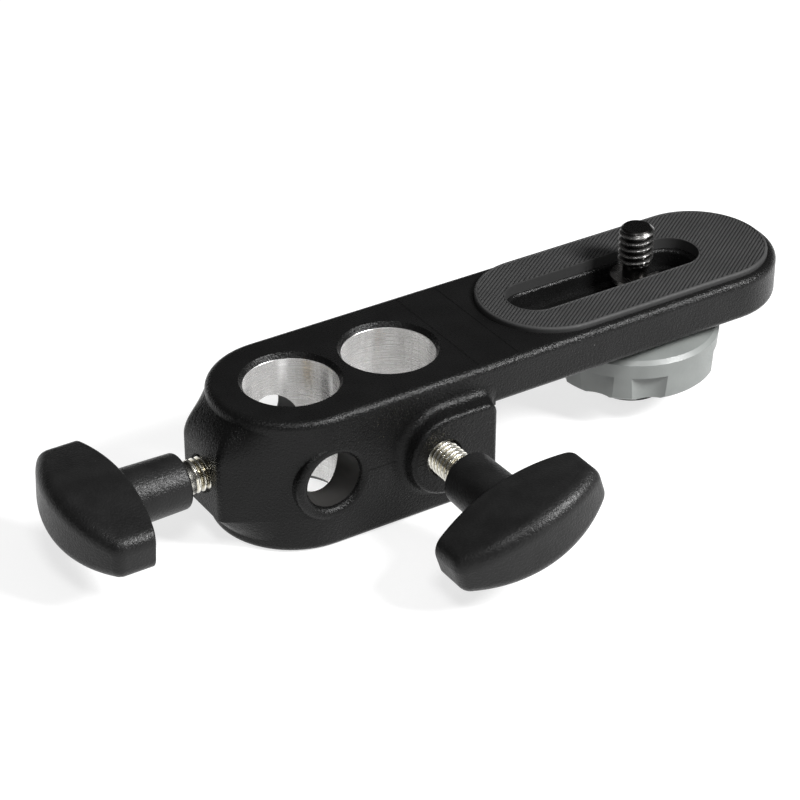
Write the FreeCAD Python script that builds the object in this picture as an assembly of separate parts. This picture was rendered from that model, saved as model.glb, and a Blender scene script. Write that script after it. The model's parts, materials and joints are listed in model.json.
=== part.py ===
"""Camera and umbrella bracket for a 5/8 inch stand: cast bar, two T-handle clamps, camera platform.

Frame: origin at the centre of the end socket, level with the clamp screws. +X runs along the bar to
the camera platform, +Z points out of the platform, +Y is the side opposite the side clamp screw.
Units are millimetres.
"""

import FreeCAD
import Part
import math
import os

# Cast bar
BAR_WIDTH = 28.7
BAR_END_X = 98.7
BLOCK_HEIGHT = 25.2
BLOCK_END_X = 30.5
ARM_THICKNESS = 8.0
TOP_EDGE_ROUND = 1.4
BOTTOM_EDGE_ROUND = 1.3
BLOCK_CORNER_ROUND = 2.0
WITNESS_LINE_X = (28.5, 36.4)
WITNESS_LINE_WIDTH = 0.3
WITNESS_LINE_DEPTH = 0.05
SEAM_WIDTH = 0.25
SEAM_HEIGHT = 0.08
SCREW_HOLE_SINK = 0.5

# Stud sockets for a 5/8 inch (15.875 mm) stud, and the 10 mm cross socket
SOCKET_RADIUS = 8.05
SOCKET_PITCH = 19.1
SOCKET_CHAMFER_WIDTH = 0.67
SOCKET_CHAMFER_DEPTH = 1.0
CROSS_RADIUS = 5.05
CROSS_LIP_ROUND = 1.2
CROSS_COLLAR_RADIUS = 7.3
CROSS_COLLAR_ROUND = 0.8

# Flat nose on the end of the bar, where the end clamp screw enters
NOSE_X = 17.5
NOSE_HALF_WIDTH = 6.0
NOSE_TOP_Z = 7.1
NOSE_BOTTOM_Z = -6.4
NOSE_RIM = 1.7
NOSE_SUNK = 0.12
NOSE_CORNER_ROUND = 1.6
NOSE_BEND = 2.6
NOSE_BEND_STEPS = 4
NOSE_SECTION_POINTS = 8
RIM_FRONT_HALF_WIDTH = 4.0
RIM_CORNER_HALF_WIDTH = 5.75

# Raised boss on the front face, where the side clamp screw enters
BOSS_CENTRE_X = 20.35
BOSS_RADIUS = 7.35
BOSS_END_X = 29.6
BOSS_PROUD = 3.3
BOSS_DRAFT = 0.6
BOSS_CORNER_ROUND = 2.2
BOSS_FACE_ROUND = 0.9
BOSS_BASE_ROUND = 1.2
BOSS_FLARE_STEPS = 4

# Cast pad on the back face
LUG_LENGTH = 12.0
LUG_CENTRE_X = 31.0
LUG_BOTTOM_Z = 4.0
LUG_TOP_Z = 10.6
LUG_PROUD = 0.6

# Camera platform: rubber pad in a shallow recess, and the stepped slot
PAD_START_X = 38.9
PAD_HALF_WIDTH = 12.75
PAD_TOP_PROUD = 0.9
PAD_RECESS_DEPTH = 1.15
PAD_RECESS_GAP = 0.15
PAD_EDGE_ROUND = 0.5
SLOT_START_X = 43.9
SLOT_END_X = 83.6
SLOT_HALF_WIDTH = 5.1
SLOT_METAL_HALF_WIDTH = 4.75
SLOT_METAL_END_INSET = 1.1
SLOT_EDGE_ROUND = 0.7
LEDGE_DEPTH = 4.4
LEDGE_HALF_WIDTH = 3.4

# Camera screw, 1/4 inch-20, with its retaining ring and grey knob
SCREW_X = 70.7
SCREW_RADIUS = 3.12
SCREW_TIP_RADIUS = 2.45
SCREW_TOP_PROUD = 8.2
SCREW_TIP_CHAMFER = 0.6
SCREW_THREAD_BOTTOM = 1.6
SCREW_NECK_RADIUS = 2.2
SCREW_SHANK_RADIUS = 3.0
RING_RADIUS = 4.4
RING_THICKNESS = 0.8
RING_TOP_DEPTH = 1.2
RING_MOUTH = 3.0
HEAD_ACROSS_FLATS = 9.0
HEAD_HEIGHT = 3.5

WASHER_RADIUS = 7.5
WASHER_HOLE_RADIUS = 3.3
WASHER_THICKNESS = 0.6

KNOB_RIM_RADIUS = 15.6
KNOB_BOTTOM_RADIUS = 15.1
KNOB_CROWN_RADIUS = 9.0
KNOB_RIM_DROP = 11.1
KNOB_BOTTOM_DROP = 18.6
KNOB_RIM_BEVEL = 0.7
KNOB_BOTTOM_ROUND = 0.5
SCALLOP_STEPS = 10
SCALLOP_SKIPPED = (1, 6)
SCALLOP_FIRST_DEG = -114.0
SCALLOP_RADIUS = 5.2
SCALLOP_DEPTH = 1.7
SCALLOP_TOP_DROP = 13.8
CAP_RADIUS = 6.8
CAP_BOTTOM_DROP = 24.0
CAP_SEAT_DEPTH = 1.0
CAP_ROUND = 0.8

# T-handles and their M6 clamp screws
HUB_BASE_RADIUS = 4.85
HUB_WING_RADIUS = 5.15
HUB_BASE_ROUND = 0.7
WING_HALF_LENGTH = 14.6
WING_THICKNESS = 10.6
WING_END_THICKNESS = 6.4
WING_OUTER_ROUND = 2.6
WING_INNER_ROUND = 0.5
WING_INNER_MIDDLE = 10.2
WING_INNER_END = 12.2
WING_OUTER_MIDDLE = 23.4
WING_OUTER_END = 18.8
HUB_LENGTH = 13.0
STUD_RADIUS = 2.95
STUD_LENGTH = 11.7
STUD_TIP_CHAMFER = 0.5
STUD_HEAD_RADIUS = 3.9
STUD_HEAD_START = 4.0
STUD_HEAD_END = 11.0
TIP_RADIUS = 2.3
TIP_THICKNESS = 1.2
TIP_ROUND = 0.3
TIP_STEM_RADIUS = 1.2
TIP_STEM_LENGTH = 2.4
TIP_GAP = 0.05
END_HUB_X = -21.3
END_WING_TILT_DEG = 5.5
SIDE_HUB_Y = -24.5
SIDE_WING_TILT_DEG = 18.0

# Clearances
RUNNING_GAP = 0.05
CUT_MARGIN = 1.0
NEARLY = 0.01

# Worked out
BAR_RADIUS = BAR_WIDTH / 2
TOP_Z = BLOCK_HEIGHT / 2
BOTTOM_Z = -BLOCK_HEIGHT / 2
ARM_BOTTOM_Z = TOP_Z - ARM_THICKNESS
BAR_END_CENTRE_X = BAR_END_X - BAR_RADIUS
BOSS_FACE_Y = -BAR_RADIUS - BOSS_PROUD
RECESS_FLOOR_Z = TOP_Z - PAD_RECESS_DEPTH
LEDGE_Z = TOP_Z - LEDGE_DEPTH
PAD_END_X = BAR_END_CENTRE_X + PAD_HALF_WIDTH
RING_TOP_Z = TOP_Z - RING_TOP_DEPTH
SHANK_TOP_Z = RING_TOP_Z - RING_THICKNESS - RUNNING_GAP
WASHER_TOP_Z = ARM_BOTTOM_Z - RUNNING_GAP
KNOB_TOP_Z = WASHER_TOP_Z - WASHER_THICKNESS - RUNNING_GAP
KNOB_RIM_Z = TOP_Z - KNOB_RIM_DROP
KNOB_BOTTOM_Z = TOP_Z - KNOB_BOTTOM_DROP
CAP_TOP_Z = KNOB_BOTTOM_Z + CAP_SEAT_DEPTH
CAP_BOTTOM_Z = TOP_Z - CAP_BOTTOM_DROP
HEAD_BOTTOM_Z = CAP_TOP_Z

X_AXIS = FreeCAD.Vector(1, 0, 0)
Y_AXIS = FreeCAD.Vector(0, 1, 0)
Z_AXIS = FreeCAD.Vector(0, 0, 1)


def vec(x, y, z):
    return FreeCAD.Vector(x, y, z)


def cylinder(radius, z_low, z_high, x=0.0, y=0.0):
    """Upright cylinder between two heights."""
    return Part.makeCylinder(radius, z_high - z_low, vec(x, y, z_low), Z_AXIS)


def turned(points, x=0.0):
    """Solid of revolution about an upright axis at x, from (radius, height) points."""
    ring = [vec(r, 0, z) for r, z in points]
    ring.append(ring[0])
    solid = Part.Face(Part.makePolygon(ring)).revolve(vec(0, 0, 0), Z_AXIS, 360)
    solid.translate(vec(x, 0, 0))
    return solid


def stadium(x_low, x_high, radius, z_low, z_high):
    """Upright prism with round ends; x_low and x_high are its outer ends."""
    start = x_low + radius
    end = x_high - radius
    left = Part.Arc(vec(start, radius, z_low), vec(x_low, 0, z_low), vec(start, -radius, z_low))
    right = Part.Arc(vec(end, -radius, z_low), vec(x_high, 0, z_low), vec(end, radius, z_low))
    near = Part.LineSegment(vec(start, -radius, z_low), vec(end, -radius, z_low))
    far = Part.LineSegment(vec(end, radius, z_low), vec(start, radius, z_low))
    wire = Part.Wire([piece.toShape() for piece in (left, near, right, far)])
    return Part.Face(wire).extrude(vec(0, 0, z_high - z_low))


def edges_where(shape, keep):
    """Edges of a shape whose bounding box passes a test."""
    return [edge for edge in shape.Edges if keep(edge.BoundBox)]


def lies_at(low, high, value, tolerance=1e-4):
    return abs(low - value) < tolerance and abs(high - value) < tolerance


# ---------------------------------------------------------------- cast body


def nose_touch_angle():
    """Angle about the end socket at which the nose's flank meets the bar's round end."""
    reach = math.hypot(NOSE_X, NOSE_HALF_WIDTH)
    corner_angle = math.atan2(NOSE_HALF_WIDTH, -NOSE_X)
    return corner_angle - math.acos(BAR_RADIUS / reach)


def on_round_end(angle, z):
    """Point just inside the bar's round end."""
    radius = BAR_RADIUS - NOSE_SUNK
    return vec(radius * math.cos(angle), radius * math.sin(angle), z)


def mirrored(point):
    return vec(point.x, -point.y, point.z)


def nose_outline(z):
    """Outline of the flat nose: front, rounded corner, flank, chord, flank, rounded corner."""
    corner = vec(-NOSE_X, -NOSE_HALF_WIDTH, z)
    near_touch = on_round_end(-nose_touch_angle(), z)
    front_way = vec(0, -1, 0)
    flank_way = (near_touch - corner).normalize()
    half_turn = front_way.getAngle(flank_way) / 2
    setback = NOSE_CORNER_ROUND * math.tan(half_turn)
    start = corner - front_way * setback
    end = corner + flank_way * setback
    inward = (flank_way - front_way).normalize()
    middle = corner + inward * NOSE_CORNER_ROUND * (1 / math.cos(half_turn) - 1)
    return [
        Part.LineSegment(mirrored(start), start),
        Part.Arc(start, middle, end),
        Part.LineSegment(end, near_touch),
        Part.LineSegment(near_touch, mirrored(near_touch)),
        Part.LineSegment(mirrored(near_touch), mirrored(end)),
        Part.Arc(mirrored(end), mirrored(middle), mirrored(start)),
    ]


def rim_outline(z):
    """The round end's circle at a height, split into the same six edges as nose_outline."""
    touch = nose_touch_angle()
    full = 2 * math.pi
    front = math.pi - math.asin(RIM_FRONT_HALF_WIDTH / BAR_RADIUS)
    corner = math.pi - math.asin(RIM_CORNER_HALF_WIDTH / BAR_RADIUS)

    def arc(start, end):
        return Part.Arc(on_round_end(start, z), on_round_end((start + end) / 2, z), on_round_end(end, z))

    return [
        arc(front, full - front),
        arc(full - front, full - corner),
        arc(full - corner, full - touch),
        Part.LineSegment(on_round_end(-touch, z), on_round_end(touch, z)),
        arc(touch, corner),
        arc(corner, front),
    ]


def nose_section(z, share):
    """Closed outline at a height, part of the way from the flat nose to the round end."""
    edges = []
    for flat, round_edge in zip(nose_outline(z), rim_outline(z)):
        flat_points = flat.toShape().discretize(NOSE_SECTION_POINTS)
        round_points = round_edge.toShape().discretize(NOSE_SECTION_POINTS)
        curve = Part.BSplineCurve()
        curve.interpolate([p * (1 - share) + q * share for p, q in zip(flat_points, round_points)])
        edges.append(curve.toShape())
    return Part.Wire(edges)


def nose():
    """Flat-fronted nose that bends back smoothly into the top rim and dies into the bottom rim."""
    rim_z = TOP_Z - NOSE_RIM
    rise = rim_z - NOSE_TOP_Z
    bend_low = NOSE_TOP_Z - NOSE_BEND
    bend = []
    for k in range(NOSE_BEND_STEPS + 1):
        up = 2 * NOSE_BEND * k / NOSE_BEND_STEPS
        bend.append(nose_section(bend_low + up, up * up / (4 * NOSE_BEND * rise)))
    low = nose_section(NOSE_BOTTOM_Z, 0)
    lower = Part.makeLoft([nose_section(BOTTOM_Z + NOSE_RIM, 1), low], True, True)
    middle = Part.makeLoft([low, nose_section(bend_low, 0)], True, True)
    curved = Part.makeLoft(bend, True, False)
    upper = Part.makeLoft([bend[-1], nose_section(rim_z, 1)], True, True)
    return lower.fuse([middle, curved, upper])


def block():
    """Thick block that holds both sockets."""
    round_end = cylinder(BAR_RADIUS, BOTTOM_Z, TOP_Z)
    box = Part.makeBox(BLOCK_END_X, BAR_WIDTH, BLOCK_HEIGHT, vec(0, -BAR_RADIUS, BOTTOM_Z))

    def corner(bounds):
        upright = bounds.ZLength > BLOCK_HEIGHT - NEARLY
        return upright and lies_at(bounds.XMin, bounds.XMax, BLOCK_END_X) and bounds.YMin > 0

    box = box.makeFillet(BLOCK_CORNER_ROUND, edges_where(box, corner))
    return round_end.fuse(box)


def arm():
    return stadium(-BAR_RADIUS, BAR_END_X, BAR_RADIUS, ARM_BOTTOM_Z, TOP_Z)


def blank():
    """Bar and block as one solid with rounded outer rims."""
    solid = block().fuse(arm()).removeSplitter()
    top = edges_where(solid, lambda box: lies_at(box.ZMin, box.ZMax, TOP_Z))
    solid = solid.makeFillet(TOP_EDGE_ROUND, top)
    bottom = edges_where(solid, lambda box: lies_at(box.ZMin, box.ZMax, BOTTOM_Z))
    solid = solid.makeFillet(BOTTOM_EDGE_ROUND, bottom)

    def under_arm(box):
        return lies_at(box.ZMin, box.ZMax, ARM_BOTTOM_Z) and box.XMax > BLOCK_END_X + 1

    return solid.makeFillet(BOTTOM_EDGE_ROUND, edges_where(solid, under_arm))


def boss_outline(y, grow):
    """D-shaped outline on a plane of constant y."""
    radius = BOSS_RADIUS + grow
    end = BOSS_END_X + grow
    corner = BOSS_CORNER_ROUND
    inset = corner * (1 - math.sqrt(0.5))
    round_end = Part.Arc(
        vec(BOSS_CENTRE_X, y, radius), vec(BOSS_CENTRE_X - radius, y, 0), vec(BOSS_CENTRE_X, y, -radius)
    )
    low = Part.LineSegment(vec(BOSS_CENTRE_X, y, -radius), vec(end - corner, y, -radius))
    low_corner = Part.Arc(
        vec(end - corner, y, -radius), vec(end - inset, y, -radius + inset), vec(end, y, -radius + corner)
    )
    side = Part.LineSegment(vec(end, y, -radius + corner), vec(end, y, radius - corner))
    high_corner = Part.Arc(
        vec(end, y, radius - corner), vec(end - inset, y, radius - inset), vec(end - corner, y, radius)
    )
    high = Part.LineSegment(vec(end - corner, y, radius), vec(BOSS_CENTRE_X, y, radius))
    pieces = (round_end, low, low_corner, side, high_corner, high)
    return Part.Wire([piece.toShape() for piece in pieces])


def boss_section(depth, flare):
    """Boss outline at a height above the front face, drafted, and widened by the base flare."""
    draft = BOSS_DRAFT * (1 - depth / BOSS_PROUD)
    return boss_outline(-BAR_RADIUS - depth, draft + flare)


def boss():
    """Raised D-shaped boss: concave flare at its base, drafted sides and a rounded face edge."""
    radius = BOSS_BASE_ROUND
    angles = [k * math.pi / 2 / BOSS_FLARE_STEPS for k in range(BOSS_FLARE_STEPS + 1)]
    flare = [boss_section(radius * (1 - math.cos(a)), radius * (1 - math.sin(a))) for a in angles]
    root = boss_section(-CUT_MARGIN, radius)
    foot = Part.makeLoft([root, flare[0]], True, True)
    base = Part.makeLoft(flare, True, False)
    tower = Part.makeLoft([flare[-1], boss_section(BOSS_PROUD, 0)], True, True)
    face_edges = edges_where(tower, lambda box: lies_at(box.YMin, box.YMax, BOSS_FACE_Y))
    tower = tower.makeFillet(BOSS_FACE_ROUND, face_edges)
    below_arm = vec(BLOCK_END_X, -BAR_WIDTH, ARM_BOTTOM_Z - BLOCK_HEIGHT)
    past_end = Part.makeBox(BAR_WIDTH, BAR_WIDTH, BLOCK_HEIGHT, below_arm)
    return foot.fuse([base, tower]).cut(past_end)


def collar():
    """Round collar about the cross socket; it stands out where the bar's end curves away."""
    solid = Part.makeCylinder(CROSS_COLLAR_RADIUS, BAR_WIDTH, vec(0, -BAR_RADIUS, 0), Y_AXIS)
    rims = edges_where(solid, lambda box: box.YLength < NEARLY)
    return solid.makeFillet(CROSS_COLLAR_ROUND, rims)


def lug():
    """Low cast pad on the back face."""
    size = (LUG_LENGTH, LUG_PROUD + CUT_MARGIN, LUG_TOP_Z - LUG_BOTTOM_Z)
    corner = vec(LUG_CENTRE_X - LUG_LENGTH / 2, BAR_RADIUS - CUT_MARGIN, LUG_BOTTOM_Z)
    solid = Part.makeBox(*size, corner)
    outer = edges_where(solid, lambda box: lies_at(box.YMin, box.YMax, BAR_RADIUS + LUG_PROUD))
    return solid.makeFillet(LUG_PROUD - SEAM_HEIGHT, outer)


def seam():
    """Fine parting line that runs round the block at mid height."""
    grown = BAR_RADIUS + SEAM_HEIGHT
    ring = stadium(-grown, BLOCK_END_X + grown, grown, -SEAM_WIDTH / 2, SEAM_WIDTH / 2)
    keep = Part.makeBox(BLOCK_END_X - 2 * BLOCK_CORNER_ROUND, 4 * grown, 1, vec(0, -2 * grown, -0.5))
    return ring.common(keep)


def boss_seam():
    """The parting line on the boss's face, from its round end to the screw hole."""
    start = BOSS_CENTRE_X - BOSS_RADIUS + BOSS_FACE_ROUND
    length = SOCKET_PITCH - start
    corner = vec(start, BOSS_FACE_Y - SEAM_HEIGHT, -SEAM_WIDTH / 2)
    return Part.makeBox(length, BOSS_PROUD, SEAM_WIDTH, corner)


def socket_cutters(x):
    """Stud socket, chamfered at both mouths: two halves that meet level with the clamp screws."""
    mouth = SOCKET_RADIUS + SOCKET_CHAMFER_WIDTH
    upper = turned([
        (0, 0),
        (SOCKET_RADIUS, 0),
        (SOCKET_RADIUS, TOP_Z - SOCKET_CHAMFER_DEPTH),
        (mouth, TOP_Z),
        (mouth, TOP_Z + CUT_MARGIN),
        (0, TOP_Z + CUT_MARGIN),
    ], x)
    return [upper, upper.mirror(vec(0, 0, 0), Z_AXIS)]


def cross_cutter():
    """Cross socket along Y with a rounded lip at both mouths."""
    start = vec(0, -BAR_RADIUS - CUT_MARGIN, 0)
    bore = Part.makeCylinder(CROSS_RADIUS, BAR_WIDTH + 2 * CUT_MARGIN, start, Y_AXIS)
    mouth_radius = CROSS_RADIUS + CROSS_LIP_ROUND
    lips = []
    for side in (-1, 1):
        outer = vec(0, side * (BAR_RADIUS + CUT_MARGIN), 0)
        inward = vec(0, -side, 0)
        plug = Part.makeCylinder(mouth_radius, CROSS_LIP_ROUND + CUT_MARGIN, outer, inward)
        ring_centre = vec(0, side * (BAR_RADIUS - CROSS_LIP_ROUND), 0)
        lips.append(plug.cut(Part.makeTorus(mouth_radius, CROSS_LIP_ROUND, ring_centre, inward)))
    return bore.fuse(lips)


def screw_hole_cutter(face, inward, depth):
    """Hole for a clamp screw with a small countersink at the outer face."""
    radius = STUD_RADIUS + RUNNING_GAP
    start = face - inward * CUT_MARGIN
    hole = Part.makeCylinder(radius, depth + CUT_MARGIN, start, inward)
    mouth_radius = radius + SCREW_HOLE_SINK + CUT_MARGIN
    sink = Part.makeCone(mouth_radius, radius, SCREW_HOLE_SINK + CUT_MARGIN, start, inward)
    return hole.fuse(sink)


def slot_cutter():
    """Stepped slot: wide above, for the retaining ring, and narrow below, for the screw."""
    wide_low = SLOT_START_X + SLOT_METAL_END_INSET
    wide_high = SLOT_END_X - SLOT_METAL_END_INSET
    wide = stadium(wide_low, wide_high, SLOT_METAL_HALF_WIDTH, LEDGE_Z, TOP_Z)
    step = SLOT_METAL_HALF_WIDTH - LEDGE_HALF_WIDTH
    low = ARM_BOTTOM_Z - CUT_MARGIN
    narrow = stadium(wide_low + step, wide_high - step, LEDGE_HALF_WIDTH, low, TOP_Z)
    return wide.fuse(narrow)


def recess_cutter():
    low = PAD_START_X - PAD_RECESS_GAP
    high = PAD_END_X + PAD_RECESS_GAP
    return stadium(low, high, PAD_HALF_WIDTH + PAD_RECESS_GAP, RECESS_FLOOR_Z, TOP_Z + CUT_MARGIN)


def witness_line_cutter(x):
    """Very shallow line across the top face."""
    length = 2 * (BAR_RADIUS - TOP_EDGE_ROUND)
    corner = vec(x, -length / 2, TOP_Z - WITNESS_LINE_DEPTH)
    return Part.makeBox(WITNESS_LINE_WIDTH, length, CUT_MARGIN, corner)


def clamp_hole_cutters():
    """The two clamp screws' holes, each from its outer face into its socket."""
    depth = NOSE_X - SOCKET_RADIUS + CUT_MARGIN
    end_hole = screw_hole_cutter(vec(-NOSE_X, 0, 0), X_AXIS, depth)
    side_depth = -BOSS_FACE_Y - SOCKET_RADIUS + CUT_MARGIN
    side_hole = screw_hole_cutter(vec(SOCKET_PITCH, BOSS_FACE_Y, 0), Y_AXIS, side_depth)
    return [end_hole, side_hole]


def bracket_body():
    """The casting: bar, block, boss, nose, collar and lug, then every hole, slot and recess."""
    solid = blank().fuse([boss(), boss_seam(), nose(), collar(), lug(), seam()])
    cutters = socket_cutters(0) + socket_cutters(SOCKET_PITCH) + [cross_cutter()]
    cutters += clamp_hole_cutters()
    cutters += [recess_cutter(), slot_cutter()]
    cutters += [witness_line_cutter(x) for x in WITNESS_LINE_X]
    solid = solid.removeSplitter().cut(cutters)

    def slot_rim(box):
        inside = box.YMax < SLOT_HALF_WIDTH and box.YMin > -SLOT_HALF_WIDTH
        return inside and lies_at(box.ZMin, box.ZMax, RECESS_FLOOR_Z)

    return solid.makeFillet(SLOT_EDGE_ROUND, edges_where(solid, slot_rim))


# ---------------------------------------------------------------- camera platform


def rubber_pad():
    """Rubber facing with its slot and a rounded top rim."""
    top = TOP_Z + PAD_TOP_PROUD
    pad = stadium(PAD_START_X, PAD_END_X, PAD_HALF_WIDTH, RECESS_FLOOR_Z, top)
    rim = edges_where(pad, lambda box: lies_at(box.ZMin, box.ZMax, top))
    pad = pad.makeFillet(PAD_EDGE_ROUND, rim)
    low = RECESS_FLOOR_Z - CUT_MARGIN
    return pad.cut(stadium(SLOT_START_X, SLOT_END_X, SLOT_HALF_WIDTH, low, top + CUT_MARGIN))


def screw_head():
    """Hexagon prism in the knob's pocket."""
    radius = HEAD_ACROSS_FLATS / math.sqrt(3)
    angles = [math.radians(60 * k) for k in range(7)]
    corners = [vec(SCREW_X + radius * math.cos(a), radius * math.sin(a), HEAD_BOTTOM_Z) for a in angles]
    return Part.Face(Part.makePolygon(corners)).extrude(vec(0, 0, HEAD_HEIGHT))


def camera_screw():
    """1/4 inch screw: plain threaded length at its outer diameter, neck, shank and hexagon head."""
    top = TOP_Z + SCREW_TOP_PROUD
    thread_bottom = TOP_Z + SCREW_THREAD_BOTTOM
    relief = SCREW_RADIUS - SCREW_NECK_RADIUS
    shaft = turned([
        (0, HEAD_BOTTOM_Z),
        (SCREW_SHANK_RADIUS, HEAD_BOTTOM_Z),
        (SCREW_SHANK_RADIUS, SHANK_TOP_Z),
        (SCREW_NECK_RADIUS, SHANK_TOP_Z),
        (SCREW_NECK_RADIUS, thread_bottom - relief / 2),
        (SCREW_RADIUS, thread_bottom),
        (SCREW_RADIUS, top - SCREW_TIP_CHAMFER),
        (SCREW_TIP_RADIUS, top),
        (0, top),
    ], SCREW_X)
    return shaft.fuse(screw_head()).removeSplitter()


def screw_retaining_ring():
    """Open spring ring that clips round the neck and is too wide for the narrow part of the slot."""
    low = RING_TOP_Z - RING_THICKNESS
    ring = cylinder(RING_RADIUS, low, RING_TOP_Z, SCREW_X)
    hole = cylinder(SCREW_NECK_RADIUS + RUNNING_GAP, low - CUT_MARGIN, RING_TOP_Z + CUT_MARGIN, SCREW_X)
    mouth_corner = vec(SCREW_X, -RING_MOUTH / 2, low - CUT_MARGIN)
    mouth = Part.makeBox(2 * RING_RADIUS, RING_MOUTH, RING_THICKNESS + 2 * CUT_MARGIN, mouth_corner)
    return ring.cut([hole, mouth])


def knob_washer():
    """Friction washer between the knob and the underside of the arm."""
    low = WASHER_TOP_Z - WASHER_THICKNESS
    disc = cylinder(WASHER_RADIUS, low, WASHER_TOP_Z, SCREW_X)
    return disc.cut(cylinder(WASHER_HOLE_RADIUS, low - CUT_MARGIN, WASHER_TOP_Z + CUT_MARGIN, SCREW_X))


def scallop_cutter(index):
    """Concave finger grip in the knob's side."""
    angle = math.radians(SCALLOP_FIRST_DEG + index * 360 / SCALLOP_STEPS)
    reach = KNOB_RIM_RADIUS - SCALLOP_DEPTH + SCALLOP_RADIUS
    x = SCREW_X + reach * math.cos(angle)
    y = reach * math.sin(angle)
    return cylinder(SCALLOP_RADIUS, KNOB_BOTTOM_Z - CUT_MARGIN, TOP_Z - SCALLOP_TOP_DROP, x, y)


def camera_knob():
    """Grey thumb knob with a conical top, finger scallops and a hexagon pocket for the screw head."""
    bevel = KNOB_RIM_BEVEL
    solid = turned([
        (0, KNOB_BOTTOM_Z),
        (KNOB_BOTTOM_RADIUS - KNOB_BOTTOM_ROUND, KNOB_BOTTOM_Z),
        (KNOB_BOTTOM_RADIUS, KNOB_BOTTOM_Z + KNOB_BOTTOM_ROUND),
        (KNOB_RIM_RADIUS, KNOB_RIM_Z),
        (KNOB_RIM_RADIUS - bevel, KNOB_RIM_Z + bevel),
        (KNOB_CROWN_RADIUS, KNOB_TOP_Z),
        (0, KNOB_TOP_Z),
    ], SCREW_X)
    grips = [scallop_cutter(k) for k in range(SCALLOP_STEPS) if k not in SCALLOP_SKIPPED]
    shank_hole = cylinder(SCREW_SHANK_RADIUS, KNOB_BOTTOM_Z, KNOB_TOP_Z + CUT_MARGIN, SCREW_X)
    seat = cylinder(CAP_RADIUS, KNOB_BOTTOM_Z - CUT_MARGIN, CAP_TOP_Z, SCREW_X)
    return solid.cut(grips + [shank_hole, screw_head(), seat])


def camera_knob_cap():
    """Black boss pressed into the knob's underside; it locks the screw head in its pocket."""
    solid = cylinder(CAP_RADIUS, CAP_BOTTOM_Z, CAP_TOP_Z, SCREW_X)
    rim = edges_where(solid, lambda box: lies_at(box.ZMin, box.ZMax, CAP_BOTTOM_Z))
    return solid.makeFillet(CAP_ROUND, rim)


# ---------------------------------------------------------------- T-handle clamp, along local +Z


def wing_plan():
    """Lens-shaped prism across the wing, seen along local Y: the outline of the wing."""
    half = WING_HALF_LENGTH
    y = -WING_THICKNESS
    near_inner = vec(half, y, WING_INNER_END)
    near_outer = vec(half, y, WING_OUTER_END)
    far_inner = vec(-half, y, WING_INNER_END)
    far_outer = vec(-half, y, WING_OUTER_END)
    inner = Part.Arc(far_inner, vec(0, y, WING_INNER_MIDDLE), near_inner)
    near_end = Part.LineSegment(near_inner, near_outer)
    outer = Part.Arc(near_outer, vec(0, y, WING_OUTER_MIDDLE), far_outer)
    far_end = Part.LineSegment(far_outer, far_inner)
    wire = Part.Wire([piece.toShape() for piece in (inner, near_end, outer, far_end)])
    return Part.Face(wire).extrude(vec(0, 2 * WING_THICKNESS, 0))


def wing_crown():
    """Prism along local Z whose two crowned sides make the wing thickest at its hub."""
    half = WING_HALF_LENGTH + CUT_MARGIN
    middle = WING_THICKNESS / 2
    end = WING_END_THICKNESS / 2
    upper = Part.Arc(vec(-half, end, 0), vec(0, middle, 0), vec(half, end, 0))
    near_end = Part.LineSegment(vec(half, end, 0), vec(half, -end, 0))
    lower = Part.Arc(vec(half, -end, 0), vec(0, -middle, 0), vec(-half, -end, 0))
    far_end = Part.LineSegment(vec(-half, -end, 0), vec(-half, end, 0))
    wire = Part.Wire([piece.toShape() for piece in (upper, near_end, lower, far_end)])
    return Part.Face(wire).extrude(vec(0, 0, WING_OUTER_MIDDLE + CUT_MARGIN))


def wing():
    """Pebble-shaped thumb wing: broad rounding on its outer rim, a tight one beside the hub."""
    solid = wing_plan().common(wing_crown())

    def beside_hub(box):
        return box.ZMax < WING_INNER_END + NEARLY

    rim = edges_where(solid, lambda box: not beside_hub(box))
    solid = solid.makeFillet(WING_OUTER_ROUND, rim)

    def inner_rim(box):
        return box.ZMax < WING_OUTER_END - WING_OUTER_ROUND and box.XLength > WING_HALF_LENGTH

    return solid.makeFillet(WING_INNER_ROUND, edges_where(solid, inner_rim))


def handle():
    """T-handle: round hub and wing, moulded round the head of its screw."""
    hub = Part.makeCone(HUB_BASE_RADIUS, HUB_WING_RADIUS, HUB_LENGTH)
    base = edges_where(hub, lambda box: lies_at(box.ZMin, box.ZMax, 0))
    hub = hub.makeFillet(HUB_BASE_ROUND, base)
    return hub.fuse(wing()).removeSplitter().cut(clamp_screw())


def clamp_screw():
    """M6 clamp screw at its outer diameter, with a moulded-in head and a bore for the brass tip."""
    bore_depth = TIP_STEM_LENGTH + TIP_GAP
    bore_radius = TIP_STEM_RADIUS + RUNNING_GAP
    return turned([
        (0, -STUD_LENGTH + bore_depth),
        (bore_radius, -STUD_LENGTH + bore_depth),
        (bore_radius, -STUD_LENGTH),
        (STUD_RADIUS - STUD_TIP_CHAMFER, -STUD_LENGTH),
        (STUD_RADIUS, -STUD_LENGTH + STUD_TIP_CHAMFER),
        (STUD_RADIUS, STUD_HEAD_START),
        (STUD_HEAD_RADIUS, STUD_HEAD_START),
        (STUD_HEAD_RADIUS, STUD_HEAD_END),
        (0, STUD_HEAD_END),
    ])


def clamp_tip():
    """Brass pressure tip: a disc that bears on the stud, and a stem in the screw's end."""
    face = -STUD_LENGTH - TIP_GAP
    return turned([
        (0, face - TIP_THICKNESS),
        (TIP_RADIUS - TIP_ROUND, face - TIP_THICKNESS),
        (TIP_RADIUS, face - TIP_THICKNESS + TIP_ROUND),
        (TIP_RADIUS, face),
        (TIP_STEM_RADIUS, face),
        (TIP_STEM_RADIUS, face + TIP_STEM_LENGTH),
        (0, face + TIP_STEM_LENGTH),
    ])


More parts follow.
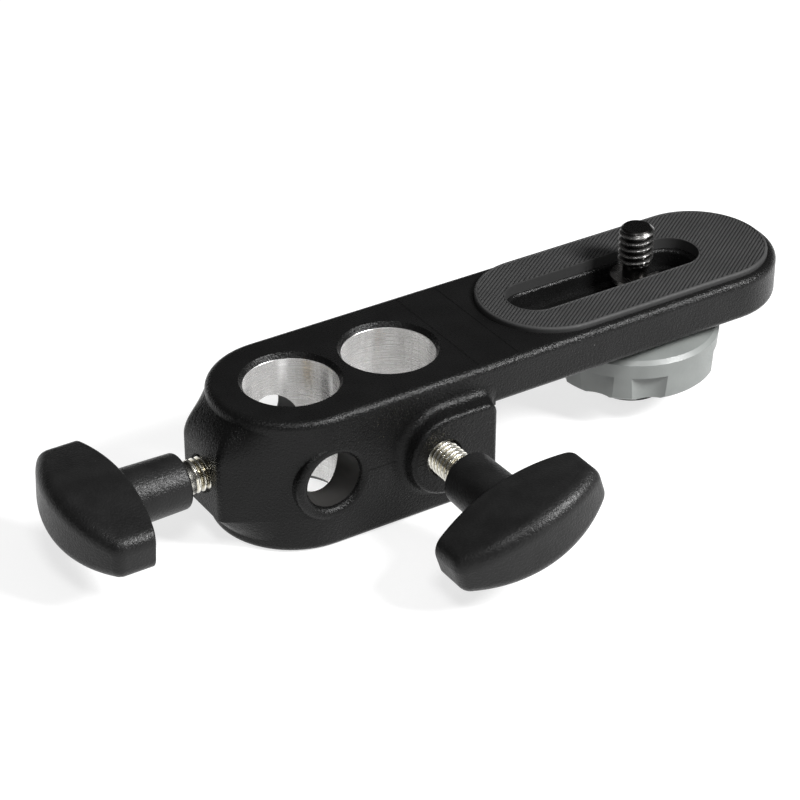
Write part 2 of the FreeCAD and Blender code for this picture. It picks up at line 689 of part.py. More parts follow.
def placed(shape, origin, rotation):
    """Copy of a shape moved from the local clamp frame to the bracket's frame."""
    copy = shape.copy()
    copy.Placement = FreeCAD.Placement(origin, rotation)
    return copy


def clamp_pose(outward, wing_direction):
    """Rotation that takes local Z to the outward axis and local X to the wing's direction."""
    thickness = outward.cross(wing_direction)
    return FreeCAD.Rotation(wing_direction, thickness, outward, "ZXY")


def end_clamp_pose():
    tilt = math.radians(END_WING_TILT_DEG)
    return clamp_pose(vec(-1, 0, 0), vec(0, math.cos(tilt), math.sin(tilt)))


def side_clamp_pose():
    tilt = math.radians(SIDE_WING_TILT_DEG)
    return clamp_pose(vec(0, -1, 0), vec(math.cos(tilt), 0, math.sin(tilt)))


def clamp_nodes(name, origin, rotation):
    """The three pieces of one clamp, in place."""
    return {
        name + "_knob_handle": placed(handle(), origin, rotation),
        name + "_knob_screw": placed(clamp_screw(), origin, rotation),
        name + "_clamp_tip": placed(clamp_tip(), origin, rotation),
    }


def nodes():
    shapes = {
        "bracket_body": bracket_body(),
        "rubber_pad": rubber_pad(),
        "camera_screw": camera_screw(),
        "screw_retaining_ring": screw_retaining_ring(),
        "knob_washer": knob_washer(),
        "camera_knob": camera_knob(),
        "camera_knob_cap": camera_knob_cap(),
    }
    shapes.update(clamp_nodes("end", vec(END_HUB_X, 0, 0), end_clamp_pose()))
    shapes.update(clamp_nodes("side", vec(SOCKET_PITCH, SIDE_HUB_Y, 0), side_clamp_pose()))
    return shapes


def single_solid(name, shape):
    """The one solid inside a shape; stops if there are more or it isn't valid."""
    if len(shape.Solids) != 1 or not shape.isValid():
        raise ValueError(name + " isn't one valid solid: " + str(len(shape.Solids)))
    return shape.Solids[0]


os.makedirs("parts", exist_ok=True)
for node_name, node_shape in nodes().items():
    solid_node = single_solid(node_name, node_shape)
    solid_node.exportStep(os.path.join("parts", node_name + ".step"))
    print(node_name, "volume", round(solid_node.Volume, 1), "mm3")
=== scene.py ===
"""Looks for the stand bracket: finishes, real threads, ribbed rubber, studio light and the camera.

Everything is in metres, in the bracket's own frame: +X towards the camera platform, +Z up.
"""

import json
import math

import bpy
from mathutils import Matrix, Vector


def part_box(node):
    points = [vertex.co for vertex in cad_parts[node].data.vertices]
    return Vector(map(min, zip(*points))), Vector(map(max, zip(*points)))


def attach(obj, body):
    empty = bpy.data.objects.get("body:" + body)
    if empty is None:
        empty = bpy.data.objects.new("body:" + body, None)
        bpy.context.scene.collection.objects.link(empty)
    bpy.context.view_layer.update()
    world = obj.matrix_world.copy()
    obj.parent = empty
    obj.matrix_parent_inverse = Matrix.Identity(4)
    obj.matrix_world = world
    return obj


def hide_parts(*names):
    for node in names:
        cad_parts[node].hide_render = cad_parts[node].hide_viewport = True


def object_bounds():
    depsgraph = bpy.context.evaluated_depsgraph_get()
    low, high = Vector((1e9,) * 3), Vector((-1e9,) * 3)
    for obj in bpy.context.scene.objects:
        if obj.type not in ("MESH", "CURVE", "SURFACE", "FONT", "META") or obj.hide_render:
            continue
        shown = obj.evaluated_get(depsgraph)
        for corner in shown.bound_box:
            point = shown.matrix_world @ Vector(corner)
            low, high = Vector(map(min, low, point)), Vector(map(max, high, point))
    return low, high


MM = 0.001

# Camera, at the photographed viewing angle
CAMERA_TARGET = Vector((21.4, 0.0, 1.3)) * MM
CAMERA_DISTANCE = 462.4 * MM
CAMERA_AZIMUTH_DEG = 32.34
CAMERA_ELEVATION_DEG = 31.92
CAMERA_LENS = 121.49

# Floor and light
FLOOR_GAP = 0.1 * MM
FLOOR_SIZE = 12.0
FLOOR_WHITE = 0.34
FLOOR_GLOW = 0.74
WORLD_GREY = 0.10
KEY_DIRECTION = (0.46, -0.62, 0.64)
KEY_DISTANCE = 0.55
KEY_SIZE = 0.15
KEY_POWER = 6.0
RIM_DIRECTION = (-0.28, -0.50, 0.84)
RIM_DISTANCE = 0.55
RIM_SIZE = 0.12
RIM_POWER = 1.3
TOP_DIRECTION = (0.1, -0.15, 1.0)
TOP_DISTANCE = 1.5
TOP_SIZE = 1.0
TOP_POWER = 2.0

# Threads
M6_RADIUS = 2.95 * MM
M6_PITCH = 1.0 * MM
M6_DEPTH = 0.58 * MM
M6_PLAIN_LENGTH = 1.5 * MM
M6_TIP_CHAMFER = 0.5 * MM
M6_HEAD_START = 4.0 * MM
M6_BORE_RADIUS = 1.25 * MM
M6_BORE_DEPTH = 2.4 * MM
CAMERA_PITCH = 1.27 * MM
CAMERA_DEPTH = 0.72 * MM
CAMERA_TIP_CHAMFER = 0.6 * MM
CAMERA_TIP_SLOPE = 1.15
CAMERA_TIP_FADE = 0.2 * MM
CAMERA_NECK_RADIUS = 2.2 * MM
CAMERA_THREAD_LENGTH = 6.6 * MM
CAMERA_SHANK_RADIUS = 3.0 * MM
CAMERA_SHANK_GAP = 0.05 * MM
CAMERA_HEAD_HEIGHT = 3.5 * MM
CAMERA_HEAD_BEVEL = 0.3 * MM
THREAD_SEGMENTS = 72
THREAD_STEPS_PER_PITCH = 20
CREST_SHARE = 0.16
ROOT_SHARE = 0.20
RUNOUT_TURNS = 0.8

# Casting
SOCKET_SKIN = 0.06 * MM

# Rubber pad
PAD_SLOT_START_X = 43.9 * MM
PAD_SLOT_END_X = 83.6 * MM
PAD_SLOT_HALF_WIDTH = 5.1 * MM
PAD_EDGE_ROUND = 0.5 * MM
PAD_RIM_WIDTH = 0.65 * MM
PAD_SLOT_RIM_WIDTH = 0.25 * MM
RIB_PITCH = 0.62 * MM
RIB_DEPTH = 0.22 * MM
RIB_TOP_WIDTH = 0.24 * MM
RIB_ROOT_WIDTH = 0.44 * MM
RIB_ANGLE_DEG = 35.0
RIB_BURIED = 0.08 * MM
RIB_SHORTEST = 0.5 * MM
RIB_FACES = ((0, 3, 2, 1), (4, 5, 6, 7), (0, 1, 5, 4), (1, 2, 6, 5), (2, 3, 7, 6), (3, 0, 4, 7))
PAD_OUTLINE_STEPS = 96
PAD_ROUND_STEPS = 5

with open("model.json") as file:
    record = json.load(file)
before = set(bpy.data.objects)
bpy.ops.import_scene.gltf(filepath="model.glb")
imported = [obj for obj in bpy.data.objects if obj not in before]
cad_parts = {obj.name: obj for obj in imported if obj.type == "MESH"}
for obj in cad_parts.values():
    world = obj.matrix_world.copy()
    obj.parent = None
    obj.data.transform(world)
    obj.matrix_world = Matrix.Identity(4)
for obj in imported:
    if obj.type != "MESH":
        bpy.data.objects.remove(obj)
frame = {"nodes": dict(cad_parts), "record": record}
cad_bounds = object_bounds()
nodes = frame["nodes"]
mounts = {mount["name"]: mount for mount in frame["record"]["mounts"]}


# ---------------------------------------------------------------- node graphs


class Graph:
    """A material's node tree, with short calls for the few node kinds used here."""

    def __init__(self, name):
        self.material = bpy.data.materials.new(name)
        self.material.use_nodes = True
        self.tree = self.material.node_tree
        self.shader = self.tree.nodes["Principled BSDF"]
        self.place = self.node("ShaderNodeTexCoord").outputs["Object"]

    def node(self, kind, **settings):
        made = self.tree.nodes.new(kind)
        for name, value in settings.items():
            setattr(made, name, value)
        return made

    def link(self, source, target):
        """Sets a socket to a number or colour, or links it to another socket."""
        if isinstance(source, bpy.types.NodeSocket):
            self.tree.links.new(source, target)
        else:
            target.default_value = source

    def math(self, operation, first, second=0.0):
        made = self.node("ShaderNodeMath", operation=operation)
        self.link(first, made.inputs[0])
        self.link(second, made.inputs[1])
        return made.outputs[0]

    def stretched(self, scale):
        """Object coordinates multiplied by a vector."""
        made = self.node("ShaderNodeMapping")
        self.link(self.place, made.inputs["Vector"])
        made.inputs["Scale"].default_value = scale
        return made.outputs["Vector"]

    def noise(self, size, detail=2.0, rough=0.5, place=None):
        """Noise with features about `size` metres across, or of unit size on a stretched place."""
        made = self.node("ShaderNodeTexNoise")
        self.link(place or self.place, made.inputs["Vector"])
        made.inputs["Scale"].default_value = 1 / size
        made.inputs["Detail"].default_value = detail
        made.inputs["Roughness"].default_value = rough
        return made.outputs["Fac"]

    def cells(self, size):
        """Distance to the nearest cell centre, in cells about `size` metres apart."""
        made = self.node("ShaderNodeTexVoronoi")
        self.link(self.place, made.inputs["Vector"])
        made.inputs["Scale"].default_value = 1 / size
        return made.outputs["Distance"]

    def span(self, value, low, high, to_low=0.0, to_high=1.0):
        """Maps low..high to to_low..to_high, clamped."""
        made = self.node("ShaderNodeMapRange", interpolation_type="SMOOTHSTEP")
        self.link(value, made.inputs["Value"])
        self.link(low, made.inputs["From Min"])
        self.link(high, made.inputs["From Max"])
        self.link(to_low, made.inputs["To Min"])
        self.link(to_high, made.inputs["To Max"])
        return made.outputs["Result"]

    def blend(self, share, first, second):
        """Colour between two colours."""
        made = self.node("ShaderNodeMix", data_type="RGBA")
        self.link(share, made.inputs["Factor"])
        self.link(first, made.inputs["A"])
        self.link(second, made.inputs["B"])
        return made.outputs["Result"]

    def level(self, share, first, second):
        """Number between two numbers."""
        made = self.node("ShaderNodeMix", data_type="FLOAT")
        self.link(share, made.inputs["Factor"])
        self.link(first, made.inputs["A"])
        self.link(second, made.inputs["B"])
        return made.outputs["Result"]

    def bump(self, height, depth, strength=1.0, normal=None):
        """Bump of a height field that is `depth` metres deep."""
        made = self.node("ShaderNodeBump")
        self.link(height, made.inputs["Height"])
        self.link(strength, made.inputs["Strength"])
        made.inputs["Distance"].default_value = depth
        if normal is not None:
            self.link(normal, made.inputs["Normal"])
        return made.outputs["Normal"]

    def axes(self):
        made = self.node("ShaderNodeSeparateXYZ")
        self.link(self.place, made.inputs[0])
        return made.outputs

    def off_axis(self, first, second, at_first=0.0, at_second=0.0):
        """Distance from an axis, from the two coordinates across it."""
        across = self.math("POWER", self.math("SUBTRACT", first, at_first), 2.0)
        along = self.math("POWER", self.math("SUBTRACT", second, at_second), 2.0)
        return self.math("SQRT", self.math("ADD", across, along))

    def finish(self, **sockets):
        for name, value in sockets.items():
            self.link(value, self.shader.inputs[name.replace("_", " ")])
        return self.material


def grey(value, warm=0.0):
    """A grey colour; a positive warm adds red and takes blue away."""
    return (value * (1 + warm), value, value * (1 - warm), 1.0)


# ---------------------------------------------------------------- materials


def dust(graph, spacing, radius, rarity):
    """Mask of rare small specks."""
    speck = graph.span(graph.cells(spacing), radius, radius * 0.4)
    rare = graph.span(graph.noise(spacing * 2.5, 0.0), rarity, rarity + 0.03)
    return graph.math("MULTIPLY", speck, rare)


def bore_mask(graph, name, across, along, centre):
    """Mask of one socket's wall, from the coordinates across it and along it."""
    dims = mounts[name]["dims"]
    distance = graph.off_axis(*across, *centre)
    inside = graph.math("LESS_THAN", distance, dims["r_mm"] * MM + SOCKET_SKIN)
    half = dims["length_mm"] * MM / 2
    level = graph.math("LESS_THAN", graph.math("ABSOLUTE", along), half + SOCKET_SKIN)
    return graph.math("MULTIPLY", inside, level)


def socket_masks(graph):
    """Masks of the two bright stud sockets together, and of the cross socket, whose wall is darkened
    partly as paint overspray and partly as painted shade of the recess.
    """
    x, y, z = graph.axes()
    studs = []
    for name in ("end_socket", "inner_socket"):
        place = mounts[name]["pos_m"]
        studs.append(bore_mask(graph, name, (x, y), z, (place[0], place[1])))
    place = mounts["cross_socket"]["pos_m"]
    cross = bore_mask(graph, "cross_socket", (x, z), y, (place[0], place[2]))
    return graph.math("MAXIMUM", *studs), cross


def casting():
    """Satin black powder coat, with bright turned walls in the stud sockets and a cross socket wall
    darkened partly as paint overspray and partly as painted shade of the recess.
    """
    graph = Graph("black_casting")
    sockets, cross = socket_masks(graph)
    bare = graph.math("MAXIMUM", sockets, cross)
    cross_paint_and_shade = graph.math("SUBTRACT", cross, sockets)
    grain = graph.noise(0.38 * MM, 2.0, 0.6)
    fine = graph.noise(0.14 * MM, 1.0)
    swell = graph.noise(6.0 * MM, 2.0)
    specks = dust(graph, 3.2 * MM, 0.045, 0.66)
    paint = graph.blend(graph.span(swell, 0.3, 0.7), grey(0.0036), grey(0.0048))
    paint = graph.blend(graph.math("MULTIPLY", specks, 0.5), paint, grey(0.25))
    rings = graph.noise(1.0, 2.0, 0.6, graph.stretched((120, 120, 6000)))
    scratch = graph.noise(1.0, 3.0, 0.7, graph.stretched((900, 900, 90)))
    metal = graph.blend(graph.span(rings, 0.3, 0.7), grey(0.80, 0.006), grey(0.72, 0.01))
    metal = graph.blend(graph.span(scratch, 0.45, 0.70), metal, grey(0.64, 0.012))
    # the cross socket's wall goes near-black: partly paint overspray, partly painted shade of the
    # recess
    metal = graph.blend(cross_paint_and_shade, metal, grey(0.020, 0.04))
    paint_rough = graph.span(grain, 0.2, 0.8, 0.22, 0.36)
    metal_rough = graph.span(rings, 0.3, 0.7, 0.24, 0.30)
    metal_rough = graph.level(cross_paint_and_shade, metal_rough, 0.62)
    height = graph.math("ADD", grain, graph.math("MULTIPLY", fine, 0.30))
    coat = graph.bump(height, 0.13 * MM)
    coat = graph.bump(swell, 0.06 * MM, 0.4, coat)
    turned = graph.bump(rings, 0.003 * MM, 0.5)
    normal = graph.node("ShaderNodeMix", data_type="VECTOR")
    graph.link(bare, normal.inputs["Factor"])
    graph.link(coat, normal.inputs["A"])
    graph.link(turned, normal.inputs["B"])
    return graph.finish(
        Base_Color=graph.blend(bare, paint, metal),
        Metallic=graph.math("MULTIPLY", sockets, 0.78),
        Roughness=graph.level(bare, paint_rough, metal_rough),
        Specular_IOR_Level=0.16,
        Normal=normal.outputs["Result"],
    )


def moulded_black(name, base, rough, grain_size, depth):
    """Spark-textured black plastic with faint pale flecks."""
    graph = Graph(name)
    grain = graph.noise(grain_size, 2.0, 0.6)
    swell = graph.noise(4.0 * MM, 2.0)
    flecks = dust(graph, 1.5 * MM, 0.05, 0.62)
    colour = graph.blend(graph.span(swell, 0.3, 0.7), grey(base * 0.8), grey(base * 1.15))
    colour = graph.blend(graph.math("MULTIPLY", flecks, 0.5), colour, grey(0.22))
    normal = graph.bump(grain, depth)
    normal = graph.bump(swell, 0.05 * MM, 0.4, normal)
    return graph.finish(
        Base_Color=colour,
        Roughness=graph.span(grain, 0.2, 0.8, rough - 0.07, rough + 0.09),
        Specular_IOR_Level=0.20,
        Normal=normal,
    )


def moulded_grey():
    """Warm light grey plastic of the camera knob, faintly mottled."""
    graph = Graph("grey_plastic")
    swell = graph.noise(5.0 * MM, 3.0)
    grain = graph.noise(0.28 * MM, 2.0)
    flecks = dust(graph, 2.2 * MM, 0.05, 0.64)
    light = (0.148, 0.157, 0.151, 1.0)
    dark = (0.128, 0.136, 0.131, 1.0)
    colour = graph.blend(graph.span(swell, 0.3, 0.7), light, dark)
    colour = graph.blend(graph.math("MULTIPLY", flecks, 0.55), colour, grey(0.12))
    normal = graph.bump(grain, 0.012 * MM)
    return graph.finish(
        Base_Color=colour,
        Roughness=graph.span(grain, 0.2, 0.8, 0.38, 0.52),
        Normal=graph.bump(swell, 0.06 * MM, 0.4, normal),
    )


def rubber():
    """Matt black rubber, lighter on its rib tops with a blotchy dry bloom, and darker at the rib roots
    and on the walls below them as painted shade.
    """
    graph = Graph("black_rubber")
    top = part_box("rubber_pad")[1].z
    z = graph.axes()[2]
    grain = graph.noise(0.22 * MM, 2.0, 0.6)
    bloom = graph.noise(7.0 * MM, 3.0)
    # lighter towards the rib tops: partly a wear bloom, partly painted shade at the rib roots and on
    # the walls below
    high = graph.span(z, top - RIB_DEPTH, top - 0.03 * MM)
    bloom_and_groove_shade = graph.math("MULTIPLY", high, graph.span(bloom, 0.25, 0.75, 0.55, 1.0))
    flecks = dust(graph, 2.6 * MM, 0.05, 0.63)
    colour = graph.blend(bloom_and_groove_shade, grey(0.009), grey(0.027))
    colour = graph.blend(graph.math("MULTIPLY", flecks, 0.5), colour, grey(0.25))
    return graph.finish(
        Base_Color=colour,
        Roughness=graph.span(grain, 0.2, 0.8, 0.60, 0.78),
        Normal=graph.bump(grain, 0.02 * MM),
    )


def steel(name, crest, root, radius, depth, metallic, rough):
    """Threaded steel in its own frame, axis on Z: lighter at the crests and darker in the roots, by
    distance from the axis; on the black steel the light crests are a painted glint.
    """
    graph = Graph(name)
    x, y, z = graph.axes()
    from_axis = graph.off_axis(x, y)
    # crest colour towards the crests, root colour towards the roots; the black steel's crest colour is
    # a painted glint
    lighter_crest = graph.span(from_axis, radius - depth * 0.75, radius - depth * 0.08)
    stain = graph.noise(1.1 * MM, 3.0, 0.6)
    grain = graph.noise(0.12 * MM, 2.0)
    share = graph.math("MULTIPLY", lighter_crest, graph.span(stain, 0.2, 0.75, 0.65, 1.0))
    return graph.finish(
        Base_Color=graph.blend(share, root, crest),
        Metallic=metallic,
        Roughness=graph.span(grain, 0.2, 0.8, rough - 0.07, rough + 0.10),
        Normal=graph.bump(grain, 0.006 * MM),
    )


def plain_metal(name, first, second, metallic, rough):
    """Turned or stamped metal with fine lines and a little staining."""
    graph = Graph(name)
    lines = graph.noise(1.0, 2.0, 0.6, graph.stretched((5000, 500, 5000)))
    stain = graph.noise(1.4 * MM, 3.0, 0.6)
    return graph.finish(
        Base_Color=graph.blend(graph.span(stain, 0.3, 0.7), first, second),
        Metallic=metallic,
        Roughness=graph.span(lines, 0.3, 0.7, rough - 0.05, rough + 0.08),
        Normal=graph.bump(lines, 0.005 * MM),
    )


def nylon():
    """Natural nylon of the knob's washer."""
    graph = Graph("nylon")
    grain = graph.noise(0.3 * MM, 2.0)
    colour = graph.blend(graph.span(grain, 0.3, 0.7), grey(0.62, 0.03), grey(0.50, 0.04))
    return graph.finish(
        Base_Color=colour,
        Roughness=graph.span(grain, 0.2, 0.8, 0.45, 0.6),
        Normal=graph.bump(grain, 0.01 * MM),
    )


# ---------------------------------------------------------------- mesh pieces


def mesh_object(name, vertices, faces, material, sharp_deg):
    """A smooth-shaded mesh object, with edges sharper than an angle kept crisp."""
    mesh = bpy.data.meshes.new(name)
    mesh.from_pydata(vertices, [], faces)
    mesh.validate()
    mesh.polygons.foreach_set("use_smooth", [True] * len(mesh.polygons))
    mesh.set_sharp_from_angle(angle=math.radians(sharp_deg))
    mesh.materials.append(material)
    made = bpy.data.objects.new(name, mesh)
    bpy.context.scene.collection.objects.link(made)
    return made


def thread_cut(turn):
    """Depth of the thread's cut, 0 at the crest to 1 at the root, at a place within one turn."""
    flank = (1 - CREST_SHARE - ROOT_SHARE) / 2
    from_crest = abs(turn - math.floor(turn) - 0.5)
    return min(1.0, max(0.0, (0.5 - from_crest - CREST_SHARE / 2) / flank))


def rings_of(outline, low, high, step):
    """(height, radius) rings along an outline, close together where it is threaded."""
    rings = []
    for (z, radius), (next_z, next_radius) in zip(outline, outline[1:]):
        threaded = next_z > low and z < high
        count = max(1, math.ceil((next_z - z) / step)) if threaded else 1
        for k in range(count):
            share = k / count
            rings.append((z + share * (next_z - z), radius + share * (next_radius - radius)))
    return rings + [outline[-1]]


def threaded_rod(name, outline, thread, material):
    """Closed solid of revolution about Z with a helical thread cut in one stretch of it.

    outline is (height, radius) from the bottom up; thread is (bottom, top, radius, pitch, depth),
    and the cut fades out towards its top.
    """
    low, high, major, pitch, depth = thread
    rings = rings_of(outline, low, high, pitch / THREAD_STEPS_PER_PITCH)
    vertices = []
    for z, radius in rings:
        fade = min(1.0, max(0.0, (high - z) / (RUNOUT_TURNS * pitch)))
        for step in range(THREAD_SEGMENTS):
            turn = step / THREAD_SEGMENTS
            cut = thread_cut(z / pitch - turn) * depth * fade
            reach = min(radius, major - cut) if low <= z <= high else radius
            angle = 2 * math.pi * turn
            vertices.append((reach * math.cos(angle), reach * math.sin(angle), z))
    faces = ring_faces(len(rings), THREAD_SEGMENTS)
    top = (len(rings) - 1) * THREAD_SEGMENTS
    faces.append(tuple(reversed(range(THREAD_SEGMENTS))))
    faces.append(tuple(range(top, top + THREAD_SEGMENTS)))
    return mesh_object(name, vertices, faces, material, 40)


def ring_faces(rings, segments, closed=False):
    """Quads between successive rings of vertices; closed joins the last ring to the first."""
    faces = []
    for ring in range(rings if closed else rings - 1):
        here = ring * segments
        above = (ring + 1) % rings * segments
        for step in range(segments):
            after = (step + 1) % segments
            faces.append((here + step, here + after, above + after, above + step))
    return faces


def camera_screw(material):
    """1/4 inch-20 screw: threaded end, neck for the spring ring, shank and hexagon head."""
    low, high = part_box("camera_screw")
    axis = Vector(((low.x + high.x) / 2, (low.y + high.y) / 2, 0))
    major = mounts["camera_thread"]["dims"]["r_mm"] * MM
    ring_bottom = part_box("screw_retaining_ring")[0].z
    thread_low = high.z - CAMERA_THREAD_LENGTH
    tip = major - CAMERA_TIP_CHAMFER * CAMERA_TIP_SLOPE
    shank_top = ring_bottom - CAMERA_SHANK_GAP
    outline = [
        (low.z, CAMERA_SHANK_RADIUS),
        (shank_top, CAMERA_SHANK_RADIUS),
        (shank_top, CAMERA_NECK_RADIUS),
        (thread_low - CAMERA_PITCH / 2, CAMERA_NECK_RADIUS),
        (thread_low, major),
        (high.z - CAMERA_TIP_CHAMFER, major),
        (high.z, tip),
    ]
    # the cut runs on into the neck, so the thread's run-out is hidden there
    thread = (shank_top, high.z + CAMERA_TIP_FADE, major, CAMERA_PITCH, CAMERA_DEPTH)
    rod = threaded_rod("camera_screw_threaded", outline, thread, material)
    head = hexagon_head(high.x - low.x, low.z, material)
    join_into(rod, head)
    rod.matrix_world = Matrix.Translation(axis)
    return rod


def hexagon_head(across_corners, bottom, material):
    """Hexagon prism about Z with a bevelled rim."""
    radius = across_corners / 2
    bevel = CAMERA_HEAD_BEVEL
    rings = [
        (bottom, radius - bevel),
        (bottom + bevel, radius),
        (bottom + CAMERA_HEAD_HEIGHT - bevel, radius),
        (bottom + CAMERA_HEAD_HEIGHT, radius - bevel),
    ]
    sides = 6
    vertices = []
    for z, reach in rings:
        for side in range(sides):
            angle = 2 * math.pi * side / sides
            vertices.append((reach * math.cos(angle), reach * math.sin(angle), z))
    faces = ring_faces(len(rings), sides)
    top = (len(rings) - 1) * sides
    faces.append(tuple(reversed(range(sides))))
    faces.append(tuple(range(top, top + sides)))
    return mesh_object("camera_screw_head", vertices, faces, material, 20)


def join_into(target, extra):
    """Moves the extra object's mesh into the target's."""
    with bpy.context.temp_override(
        active_object=target, selected_editable_objects=[target, extra]
    ):
        bpy.ops.object.join()


def clamp_screw(side, outward, material):
    """M6 clamp screw: chamfered tip with a bore, thread, plain stretch by the hub, moulded-in head."""
    low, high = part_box(side + "_knob_screw")
    hub_low, hub_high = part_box(side + "_knob_handle")
    centre = (low + high) / 2
    # the hub's base is the handle's nearest face to the socket
    base = Vector(hub_high[k] if outward[k] else centre[k] for k in range(3))
    length = max(abs((high[k] - base[k]) * outward[k]) for k in range(3))
    head_end = max(abs((base[k] - low[k]) * outward[k]) for k in range(3))
    head_radius = min(high - low) / 2
    outline = [
        (-length + M6_BORE_DEPTH, 0.0),
        (-length + M6_BORE_DEPTH, M6_BORE_RADIUS),
        (-length, M6_BORE_RADIUS),
        (-length, M6_RADIUS - M6_TIP_CHAMFER),
        (-length + M6_TIP_CHAMFER, M6_RADIUS),
        (-M6_PLAIN_LENGTH, M6_RADIUS),
        (M6_HEAD_START, M6_RADIUS),
        (M6_HEAD_START, head_radius),
        (head_end, head_radius),
    ]
    thread = (-length, -M6_PLAIN_LENGTH, M6_RADIUS, M6_PITCH, M6_DEPTH)
    rod = threaded_rod(side + "_knob_screw_threaded", outline, thread, material)
    turn = Vector((0, 0, 1)).rotation_difference(Vector(outward)).to_matrix().to_4x4()
    rod.matrix_world = Matrix.Translation(base) @ turn
    return rod


# ---------------------------------------------------------------- rubber pad


def stadium_ring(start, end, radius, z):
    """Points round an outline with two round ends, anticlockwise, at one height."""
    half = PAD_OUTLINE_STEPS // 2
    ring = []
    for centre, first in ((end, -math.pi / 2), (start, math.pi / 2)):
        for k in range(half):
            angle = first + math.pi * k / (half - 1)
            ring.append((centre + radius * math.cos(angle), radius * math.sin(angle), z))
    return ring


def chord_through(start, end, radius, point, direction):
    """Stretch of a line inside a stadium, as (enter, leave) along the line, or None."""
    stretches = []
    for centre in (start, end):
        offset = Vector((point[0] - centre, point[1]))
        along = offset.dot(direction)
        gap = radius * radius - (offset.length_squared - along * along)
        if gap > 0:
            stretches.append((-along - math.sqrt(gap), -along + math.sqrt(gap)))
    at_x = sorted((x - point[0]) / direction[0] for x in (start, end))
    at_y = sorted((y - point[1]) / direction[1] for y in (-radius, radius))
    enter = max(at_x[0], at_y[0])
    leave = min(at_x[1], at_y[1])
    if enter < leave:
        stretches.append((enter, leave))
    if not stretches:
        return None
    return min(s[0] for s in stretches), max(s[1] for s in stretches)


def rib(point, direction, enter, leave, root_z, top_z):
    """Vertices of one rib: a long wedge with a flat top, sunk a little into the pad."""
    across = Vector((-direction[1], direction[0]))
    corners = []
    for reach in (enter, leave):
        middle = Vector(point) + reach * direction
        for half, z in (
            (RIB_ROOT_WIDTH / 2, root_z - RIB_BURIED),
            (RIB_TOP_WIDTH / 2, top_z),
            (-RIB_TOP_WIDTH / 2, top_z),
            (-RIB_ROOT_WIDTH / 2, root_z - RIB_BURIED),
        ):
            place = middle + half * across
            corners.append((place.x, place.y, z))
    return corners


def rib_stretches(outer, inner):
    """Each rib's line and the stretches of it that lie on the pad, clear of the slot."""
    angle = math.radians(RIB_ANGLE_DEG)
    direction = Vector((math.cos(angle), math.sin(angle)))
    across = Vector((-direction[1], direction[0]))
    middle = Vector(((outer[0] + outer[1]) / 2, 0))
    count = math.ceil((outer[1] - outer[0] + 2 * outer[2]) / RIB_PITCH)
    for k in range(-count, count + 1):
        point = middle + k * RIB_PITCH * across
        whole = chord_through(*outer, point, direction)
        if whole is None:
            continue
        gap = chord_through(*inner, point, direction)
        parts = [whole] if gap is None else [(whole[0], gap[0]), (gap[1], whole[1])]
        for enter, leave in parts:
            if leave - enter > RIB_SHORTEST:
                yield point, direction, enter, leave


def ribbed_pad(material):
    """Rubber facing: a slab with smooth raised rims, narrow by the slot, and diagonal ribs."""
    low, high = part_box("rubber_pad")
    radius = high.y
    start = low.x + radius
    end = high.x - radius
    slot_radius = PAD_SLOT_HALF_WIDTH
    slot_start = PAD_SLOT_START_X + slot_radius
    slot_end = PAD_SLOT_END_X - slot_radius
    root = high.z - RIB_DEPTH

    def outer(inset, z):
        return stadium_ring(start, end, radius - inset, z)

    def inner(growth, z):
        return stadium_ring(slot_start, slot_end, slot_radius + growth, z)

    angles = [math.pi / 2 * k / PAD_ROUND_STEPS for k in range(PAD_ROUND_STEPS + 1)]
    rings = [outer(0, low.z)]
    for a in angles:
        inset = PAD_EDGE_ROUND * (1 - math.cos(a))
        rings.append(outer(inset, high.z - PAD_EDGE_ROUND * (1 - math.sin(a))))
    rings.append(outer(PAD_RIM_WIDTH - RIB_DEPTH / 2, high.z))
    rings.append(outer(PAD_RIM_WIDTH, root))
    rings.append(inner(PAD_SLOT_RIM_WIDTH, root))
    rings.append(inner(PAD_SLOT_RIM_WIDTH - RIB_DEPTH / 2, high.z))
    rings.append(inner(0, high.z))
    rings.append(inner(0, low.z))
    vertices = [vertex for ring in rings for vertex in ring]
    faces = ring_faces(len(rings), PAD_OUTLINE_STEPS, closed=True)

    outer_field = (start, end, radius - PAD_RIM_WIDTH + RIB_BURIED)
    inner_field = (slot_start, slot_end, slot_radius + PAD_SLOT_RIM_WIDTH - RIB_BURIED)
    for line in rib_stretches(outer_field, inner_field):
        first = len(vertices)
        vertices += rib(*line, root, high.z)
        for face in RIB_FACES:
            faces.append(tuple(first + k for k in face))
    return mesh_object("rubber_pad_ribbed", vertices, faces, material, 35)


# ---------------------------------------------------------------- assembly


def finish_node(name, material):
    """Gives a CAD node its material."""
    nodes[name].data.materials.clear()
    nodes[name].data.materials.append(material)


def stand_for(piece, node, body):
    """The piece replaces a CAD node and moves with the node's body."""
    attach(piece, body)
    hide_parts(node)


black_plastic = moulded_black("black_plastic", 0.0090, 0.36, 0.40 * MM, 0.10 * MM)
finish_node("bracket_body", casting())
finish_node("camera_knob", moulded_grey())
finish_node("camera_knob_cap", moulded_black("cap_plastic", 0.010, 0.46, 0.30 * MM, 0.07 * MM))
finish_node("knob_washer", nylon())
ring_steel = plain_metal("ring_steel", grey(0.30, 0.03), grey(0.16, 0.04), 1.0, 0.22)
finish_node("screw_retaining_ring", ring_steel)
brass = plain_metal("brass", (0.72, 0.50, 0.20, 1), (0.60, 0.40, 0.15, 1), 1.0, 0.28)
for clamp in ("end", "side"):
    finish_node(clamp + "_knob_handle", black_plastic)
    finish_node(clamp + "_clamp_tip", brass)

stand_for(ribbed_pad(rubber()), "rubber_pad", "bracket")

camera_radius = mounts["camera_thread"]["dims"]["r_mm"] * MM
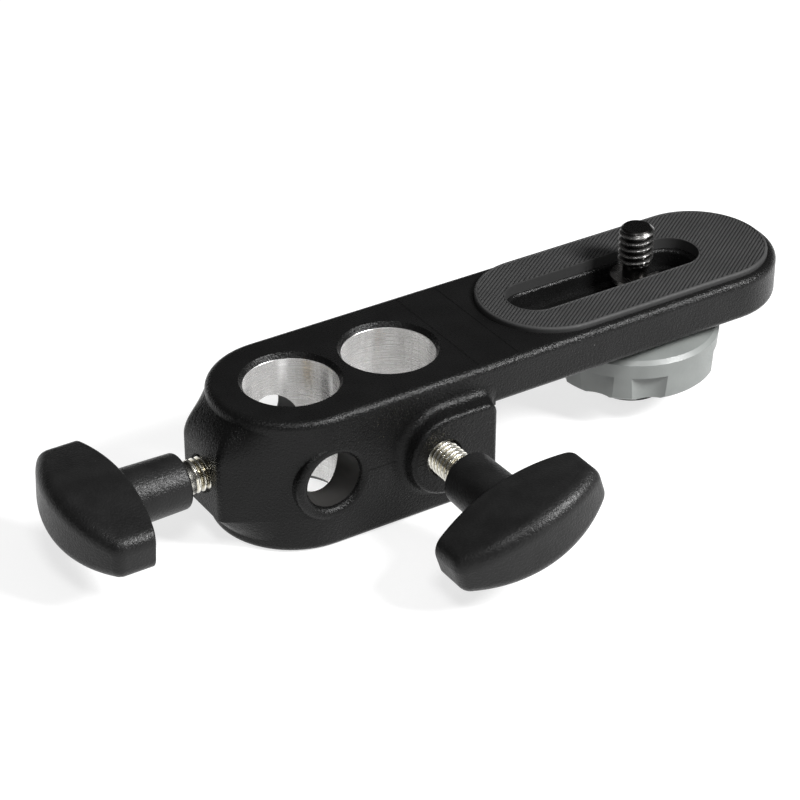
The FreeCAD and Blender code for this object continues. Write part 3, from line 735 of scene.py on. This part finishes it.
# the black steel's light crest colour is a painted glint on the thread crests
oxide = steel("black_steel", grey(0.26, 0.02), grey(0.03, 0.03), camera_radius, CAMERA_DEPTH, 1.0, 0.26)
stand_for(camera_screw(oxide), "camera_screw", "camera_screw_knob")

zinc = steel("zinc_steel", (0.93, 0.92, 0.86, 1), (0.60, 0.56, 0.44, 1), M6_RADIUS, M6_DEPTH, 1.0, 0.22)
stand_for(clamp_screw("end", (-1, 0, 0), zinc), "end_knob_screw", "end_knob")
stand_for(clamp_screw("side", (0, -1, 0), zinc), "side_knob_screw", "side_knob")


# ---------------------------------------------------------------- studio


def floor():
    """Plain pale floor, lit a little from below like a light table, so shadows stay faint."""
    half = FLOOR_SIZE / 2
    z = cad_bounds[0][2] - FLOOR_GAP
    graph = Graph("floor")
    tone = graph.noise(0.05, 2.0)
    white = graph.blend(tone, grey(FLOOR_WHITE), grey(FLOOR_WHITE + 0.01))
    material = graph.finish(
        Base_Color=white, Roughness=0.9, Emission_Color=grey(1.0), Emission_Strength=FLOOR_GLOW
    )
    corners = [(-half, -half, z), (half, -half, z), (half, half, z), (-half, half, z)]
    mesh_object("floor", corners, [(0, 1, 2, 3)], material, 30)


def softbox(name, direction, distance, size, power):
    """Square area light that faces the bracket."""
    light = bpy.data.lights.new(name, "AREA")
    light.shape = "SQUARE"
    light.size = size
    light.energy = power
    lamp = bpy.data.objects.new(name, light)
    toward = Vector(direction).normalized()
    lamp.location = CAMERA_TARGET + toward * distance
    lamp.rotation_euler = toward.to_track_quat("Z", "Y").to_euler()
    bpy.context.scene.collection.objects.link(lamp)


def surroundings():
    """Even grey light from the room."""
    world = bpy.data.worlds.new("room")
    world.use_nodes = True
    world.node_tree.nodes["Background"].inputs["Color"].default_value = grey(WORLD_GREY)
    bpy.context.scene.world = world


def camera():
    azimuth = math.radians(CAMERA_AZIMUTH_DEG)
    elevation = math.radians(CAMERA_ELEVATION_DEG)
    back = Vector((
        -math.sin(azimuth) * math.cos(elevation),
        -math.cos(azimuth) * math.cos(elevation),
        math.sin(elevation),
    ))
    data = bpy.data.cameras.new("camera")
    data.lens = CAMERA_LENS
    data.clip_start = 0.01
    eye = bpy.data.objects.new("camera", data)
    eye.location = CAMERA_TARGET + back * CAMERA_DISTANCE
    eye.rotation_euler = back.to_track_quat("Z", "Y").to_euler()
    bpy.context.scene.collection.objects.link(eye)
    bpy.context.scene.camera = eye


floor()
softbox("key", KEY_DIRECTION, KEY_DISTANCE, KEY_SIZE, KEY_POWER)
softbox("rim", RIM_DIRECTION, RIM_DISTANCE, RIM_SIZE, RIM_POWER)
softbox("overhead", TOP_DIRECTION, TOP_DISTANCE, TOP_SIZE, TOP_POWER)
surroundings()
camera()
bpy.context.scene.view_settings.view_transform = "Standard"
